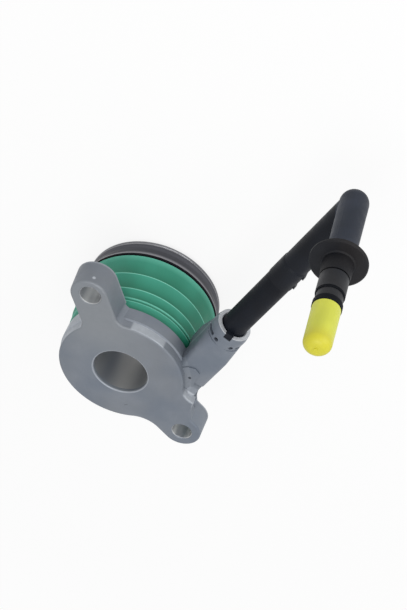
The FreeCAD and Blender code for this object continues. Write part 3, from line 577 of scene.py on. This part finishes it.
def foldPoints(root, crest, following, crestHighlight, crestHighlightRun):
    tip = Vector((crest[0], -crest[1]))
    rise, drop = crest[0] - root[0], crest[1] - root[1]
    steps = max(boot["fewestRuns"], math.ceil(drop / boot["longestRun"]))
    points = []
    for step in range(steps + 1):
        t = step / steps * (1 - boot["crestRun"] / drop)
        bend = (1 - boot["flare"]) * t + boot["flare"] * t * t
        # the painted highlight fades out along this run back from the crest
        paintedSheen = max(0.0, 1 - (1 - t) * drop / crestHighlightRun) if crestHighlightRun else 0.0
        points.append((root[0] + rise * bend, -root[1] - drop * t, t, crestHighlight * paintedSheen))
    near = Vector(points[-1][:2])
    far = tip + (Vector((following[0], -following[1])) - tip).normalized() * boot["crestRun"]
    for step in range(1, boot["crestSteps"] + 1):
        t = step / boot["crestSteps"]
        place = near * (1 - t) ** 2 + tip * 2 * t * (1 - t) + far * t * t
        points.append((place.x, place.y, 1.0, crestHighlight if t < 1 else 0.0))
    return points


def makeBoot():
    wall, base, lip, crests = boot["wall"], boot["base"], boot["lip"], boot["crests"]
    roots = [(radius - boot["stepIn"], depth + boot["stepDown"]) for radius, depth in crests]
    lipInner = lip[0] - boot["lipWidth"]
    path = []
    starts, ends = [base] + roots, roots + [(lipInner, lip[1])]
    for fold in zip(starts, crests + (lip,), ends, boot["crestHighlight"], boot["crestHighlightRun"]):
        path += foldPoints(*fold)
    path += [(lipInner, -lip[1], 1.0, 0.0), (lipInner, wall - lip[1], 1.0, 0.0)]
    for root, crest in zip(reversed(roots), reversed(crests)):
        path += [(root[0] - wall, -root[1], 0.0, 0.0), (crest[0] - wall, -crest[1], 1.0, 0.0)]
    inner, outer, top = boot["bead"]
    bead = ((base[0] - wall, base[1] + wall), (inner, base[1]), (inner, top),
            (outer, top), (outer, base[1]))
    path += [(radius, -depth, 0.0, 0.0) for radius, depth in bead]
    piece = lathe("dustBoot", path, boot["around"], materials["boot"])
    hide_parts("dust_boot")
    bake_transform(piece)


makeBoot()
print("boot made")


# preload spring, a coil made along a spiral
spring = {
    "radius": 25.4 * mm,
    "wire": 0.9 * mm,
    "turns": 5.0,
    "stepsPerTurn": 72,
    "wireSides": 16,
    "seatGap": 0.1 * mm,
}


def addGroup(name):
    tree = bpy.data.node_groups.new(name, "GeometryNodeTree")
    tree.interface.new_socket("Geometry", in_out="OUTPUT", socket_type="NodeSocketGeometry")
    return tree


def addInput(tree, name, kind, value):
    socket = tree.interface.new_socket(name, in_out="INPUT", socket_type=kind)
    if value is not None:
        socket.default_value = value
    return socket.identifier


def bakeNodes(name, tree, values, material):
    holder = bpy.data.objects.new(name + "Maker", bpy.data.meshes.new(name + "Start"))
    bpy.context.scene.collection.objects.link(holder)
    modifier = holder.modifiers.new("nodes", "NODES")
    modifier.node_group = tree
    for identifier, value in values.items():
        modifier[identifier] = value
    bpy.context.view_layer.update()
    evaluated = holder.evaluated_get(bpy.context.evaluated_depsgraph_get())
    mesh = bpy.data.meshes.new_from_object(evaluated)
    bpy.data.objects.remove(holder)
    mesh.name = name
    mesh.materials.clear()
    mesh.materials.append(material)
    for face in mesh.polygons:
        face.use_smooth = True
    obj = bpy.data.objects.new(name, mesh)
    bpy.context.scene.collection.objects.link(obj)
    return obj


def coilTree():
    tree = addGroup("coil")
    ids = {
        "radius": addInput(tree, "Radius", "NodeSocketFloat", 0.01),
        "height": addInput(tree, "Height", "NodeSocketFloat", 0.02),
        "turns": addInput(tree, "Turns", "NodeSocketFloat", 5.0),
        "wire": addInput(tree, "Wire Radius", "NodeSocketFloat", 0.001),
        "bottom": addInput(tree, "Bottom", "NodeSocketFloat", 0.0),
        "material": addInput(tree, "Material", "NodeSocketMaterial", None),
    }
    make = tree.nodes.new
    link = tree.links.new
    given, result = make("NodeGroupInput"), make("NodeGroupOutput")
    spiral = make("GeometryNodeCurveSpiral")
    spiral.inputs["Resolution"].default_value = spring["stepsPerTurn"]
    link(given.outputs["Turns"], spiral.inputs["Rotations"])
    link(given.outputs["Radius"], spiral.inputs["Start Radius"])
    link(given.outputs["Radius"], spiral.inputs["End Radius"])
    link(given.outputs["Height"], spiral.inputs["Height"])
    wire = make("GeometryNodeCurvePrimitiveCircle")
    wire.inputs["Resolution"].default_value = spring["wireSides"]
    link(given.outputs["Wire Radius"], wire.inputs["Radius"])
    sweep = make("GeometryNodeCurveToMesh")
    sweep.inputs["Fill Caps"].default_value = True
    link(spiral.outputs["Curve"], sweep.inputs["Curve"])
    link(wire.outputs["Curve"], sweep.inputs["Profile Curve"])
    offset = make("ShaderNodeCombineXYZ")
    link(given.outputs["Bottom"], offset.inputs["Z"])
    move = make("GeometryNodeTransform")
    link(sweep.outputs["Mesh"], move.inputs["Geometry"])
    link(offset.outputs["Vector"], move.inputs["Translation"])
    realize = make("GeometryNodeRealizeInstances")
    link(move.outputs["Geometry"], realize.inputs["Geometry"])
    paint = make("GeometryNodeSetMaterial")
    link(realize.outputs["Geometry"], paint.inputs["Geometry"])
    link(given.outputs["Material"], paint.inputs["Material"])
    link(paint.outputs["Geometry"], result.inputs["Geometry"])
    return tree, ids


def makeSpring():
    low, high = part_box("preload_spring")
    tree, ids = coilTree()
    wire = spring["wire"]
    bottom = low.z - spring["seatGap"] + wire
    top = high.z + spring["seatGap"] - wire
    values = {
        ids["radius"]: spring["radius"], ids["height"]: top - bottom, ids["turns"]: spring["turns"],
        ids["wire"]: wire, ids["bottom"]: bottom, ids["material"]: materials["spring"],
    }
    piece = bakeNodes("preloadSpring", tree, values, materials["spring"])
    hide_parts("preload_spring")
    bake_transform(piece)


makeSpring()
print("spring made")


# floor and light
studio = {
    "floorSize": 6.0,
    "floorColor": (0.86, 0.86, 0.86),
    "floorGlow": 0.86,
    "shadowReach": 420,  # mm, past it the floor fades to plain white
    "shadowFade": 330,
    "worldLight": 0.60,
    "aim": (0.0, -0.04, -0.02),
    "lights": (
        {"name": "keyLight", "place": (0.16, -0.22, 0.78), "size": 0.5, "power": 2.8},
        {"name": "fillLight", "place": (0.08, -0.75, 0.28), "size": 0.6, "power": 2.0},
    ),
}


def seenDirectly(tree):
    rays = tree.nodes.new("ShaderNodeLightPath")
    seen = math2(tree, "MAXIMUM", rays.outputs["Is Camera Ray"], rays.outputs["Is Glossy Ray"])
    return math2(tree, "MAXIMUM", seen, rays.outputs["Is Transmission Ray"])


def makeFloor():
    size = studio["floorSize"] / 2
    height = cadLow.z
    mesh = bpy.data.meshes.new("floor")
    corners = [(-size, -size, height), (size, -size, height),
               (size, size, height), (-size, size, height)]
    mesh.from_pydata(corners, [], [(0, 1, 2, 3)])
    obj = bpy.data.objects.new("floor", mesh)
    bpy.context.scene.collection.objects.link(obj)
    mat, tree, shader = startMaterial("floorPaper", studio["floorColor"], roughness=0.9, specular=0.1)
    glow = tree.nodes.new("ShaderNodeEmission")
    glow.inputs["Strength"].default_value = 1.0
    mix = tree.nodes.new("ShaderNodeMixShader")
    below = (0, 0, height / mm)
    shaded = spot(tree, objectPoint(tree), below, studio["shadowReach"], studio["shadowFade"])
    shadow = math2(tree, "MULTIPLY", shaded, 1 - studio["floorGlow"])
    glowing = math2(tree, "SUBTRACT", 1.0, shadow)
    tree.links.new(math2(tree, "MULTIPLY", seenDirectly(tree), glowing), mix.inputs[0])
    tree.links.new(shader.outputs[0], mix.inputs[1])
    tree.links.new(glow.outputs[0], mix.inputs[2])
    tree.links.new(mix.outputs[0], tree.nodes["Material Output"].inputs["Surface"])
    mesh.materials.append(mat)


def makeWorld():
    world = bpy.data.worlds.new("studio")
    bpy.context.scene.world = world
    world.use_nodes = True
    tree = world.node_tree
    background = tree.nodes["Background"]
    background.inputs["Color"].default_value = (1, 1, 1, 1)
    extra = math2(tree, "MULTIPLY", seenDirectly(tree), 1 - studio["worldLight"])
    strength = math2(tree, "ADD", extra, studio["worldLight"])
    tree.links.new(strength, background.inputs["Strength"])


def areaLight(name, place, size, power):
    data = bpy.data.lights.new(name, "AREA")
    data.size = size
    data.energy = power
    obj = bpy.data.objects.new(name, data)
    obj.location = place
    toTarget = Vector(studio["aim"]) - Vector(place)
    obj.rotation_euler = toTarget.to_track_quat("-Z", "Y").to_euler()
    bpy.context.scene.collection.objects.link(obj)


def makeLights():
    for light in studio["lights"]:
        areaLight(**light)


makeFloor()
makeWorld()
makeLights()
bpy.context.scene.view_settings.view_transform = "Standard"
print("studio set")
